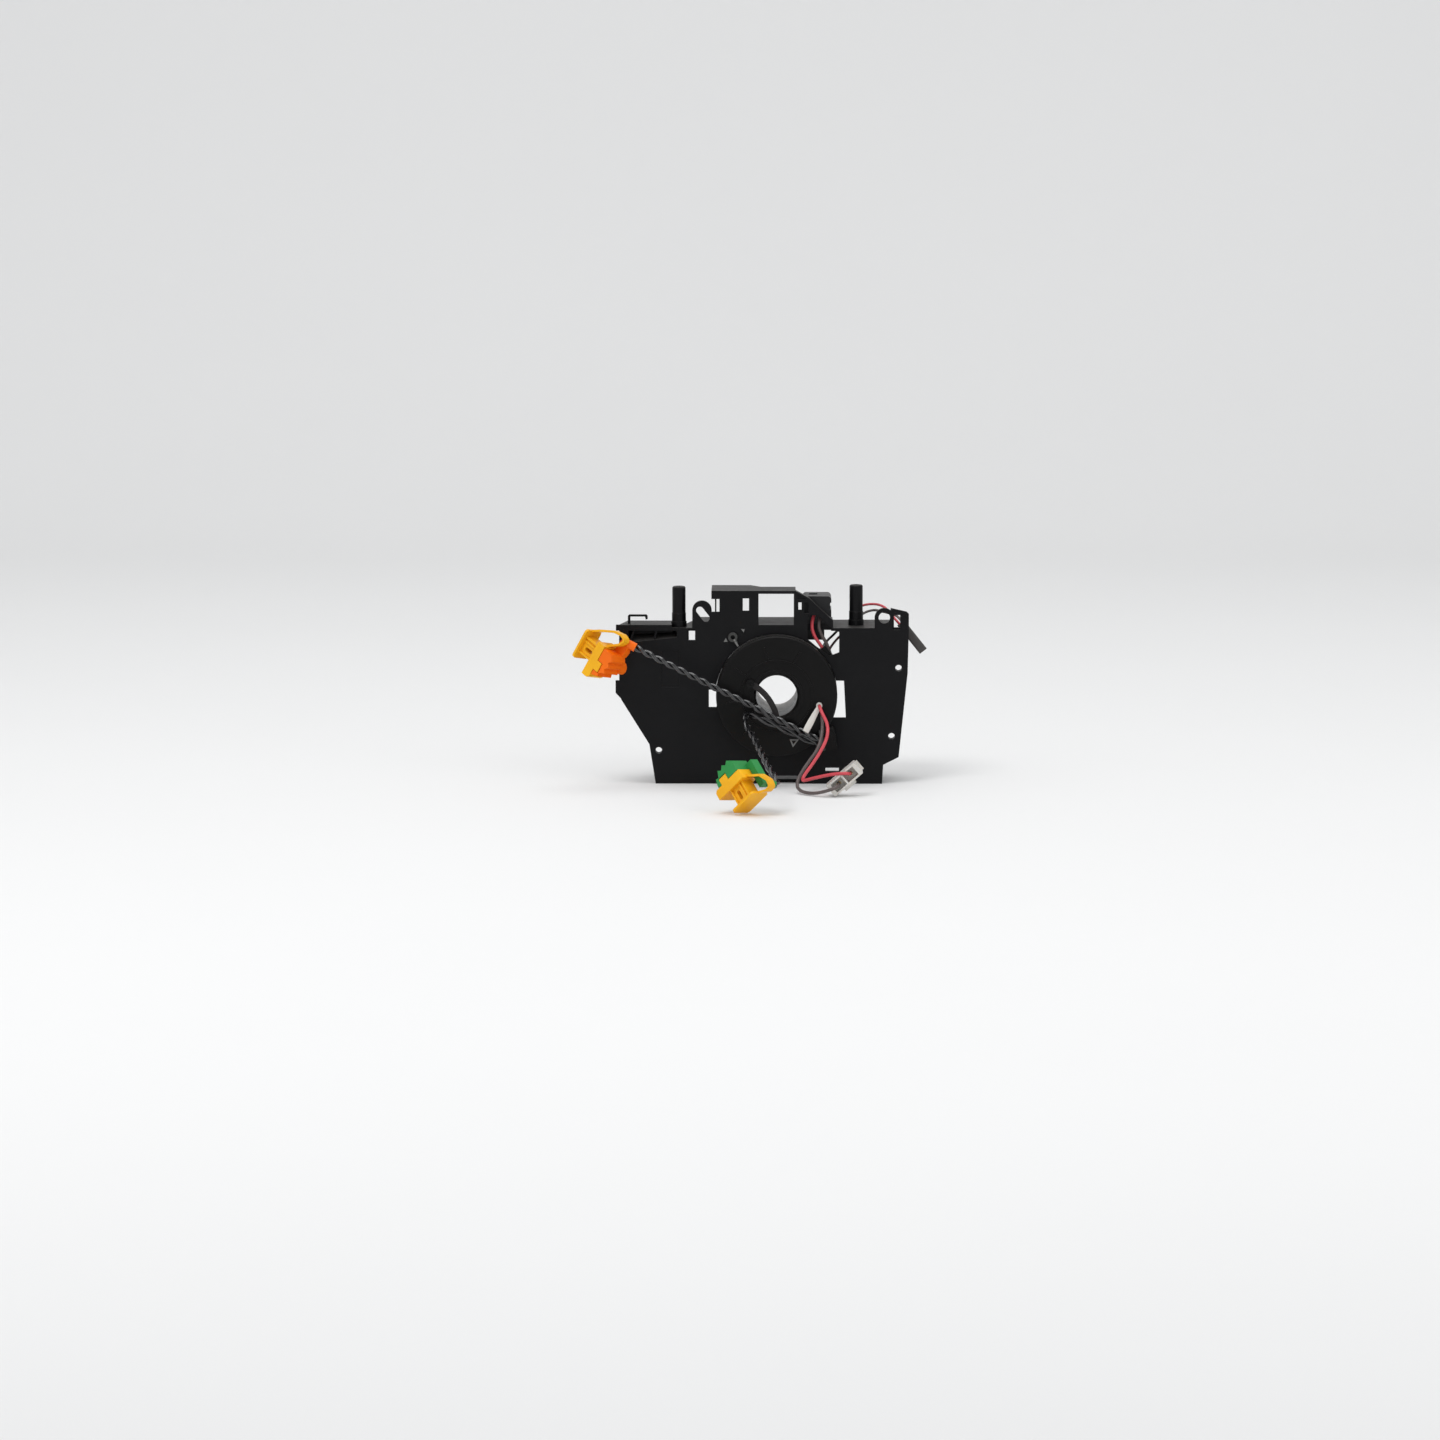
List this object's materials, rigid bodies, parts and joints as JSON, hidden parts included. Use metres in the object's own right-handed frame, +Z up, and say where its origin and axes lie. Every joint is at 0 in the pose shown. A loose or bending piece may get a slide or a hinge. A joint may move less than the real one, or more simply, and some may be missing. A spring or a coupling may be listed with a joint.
{
  "type": "steering clock spring",
  "caption": "Clock spring in its switch carrier: drum with turning rotor, wound ribbon, two plugged twisted leads, a horn lead and a feed connector.",
  "frame": {"origin": "on the column axis at the front face of the carrier wall", "axes": "+Y down the steering column away from the driver, +Z up, +X right seen from the driver"},
  "size_m": [0.2411, 0.2495, 0.1345],
  "materials": {
    "black_plastic": "fine moulded grain",
    "drum_plastic": "satin",
    "rotor_plastic": "satin",
    "cam_plastic": "satin",
    "film": "waxy",
    "ribbon": "smooth film",
    "zinc_steel": "zinc plated",
    "latch_plastic": "satin",
    "strap": "satin",
    "natural_plastic": "unpigmented",
    "rubber": "matte",
    "brass": "bright",
    "yellow_plastic": "satin",
    "orange_plastic": "satin",
    "green_plastic": "satin",
    "lead_skin": "satin insulation",
    "red_wire": "satin insulation",
    "dark_wire": "satin insulation",
    "sleeve": "woven look"
  },
  "bodies": {
    "carrier_unit": {"carrier": "black_plastic", "drum_housing": "drum_plastic", "rear_cover": "drum_plastic", "slide_film": "film", "ribbon_cable": "ribbon", "drum_screws": "zinc_steel", "centring_latch": "latch_plastic", "feed_connector": "black_plastic", "feed_pins": "brass", "short_wire_red": "red_wire", "short_wire_black": "dark_wire", "feed_wire_red": "red_wire", "feed_wire_black": "dark_wire", "feed_sleeve": "sleeve"},
    "rotor_unit": {"rotor": "rotor_plastic", "cancel_ring": "cam_plastic", "lock_strap": "strap", "lock_screw": "zinc_steel", "wire_clip": "natural_plastic", "lead_grommet": "rubber", "upper_lead": "lead_skin", "lower_lead": "lead_skin", "upper_plug_body": "orange_plastic", "upper_plug_contacts": "brass", "lower_plug_body": "green_plastic", "lower_plug_contacts": "brass", "horn_wire_red": "red_wire", "horn_wire_black": "dark_wire", "horn_connector": "natural_plastic", "horn_terminals": "brass"},
    "upper_lock": {"upper_plug_lock": "yellow_plastic"},
    "lower_lock": {"lower_plug_lock": "yellow_plastic"}
  },
  "joints": [
    {"name": "rotor_spin", "type": "hinge", "parent": "carrier_unit", "child": "rotor_unit", "pos_m": [0, 0, 0], "axis": [0, 1, 0], "range_deg": [-900, 900], "deforming": ["ribbon_cable"]},
    {"name": "upper_lock_slide", "type": "slide", "parent": "rotor_unit", "child": "upper_lock", "axis": [-0.6464, 0.5975, 0.4746], "range_m": [0, 0.0025]},
    {"name": "lower_lock_slide", "type": "slide", "parent": "rotor_unit", "child": "lower_lock", "axis": [0.4508, -0.4928, -0.7443], "range_m": [0, 0.0025]}
  ]
}
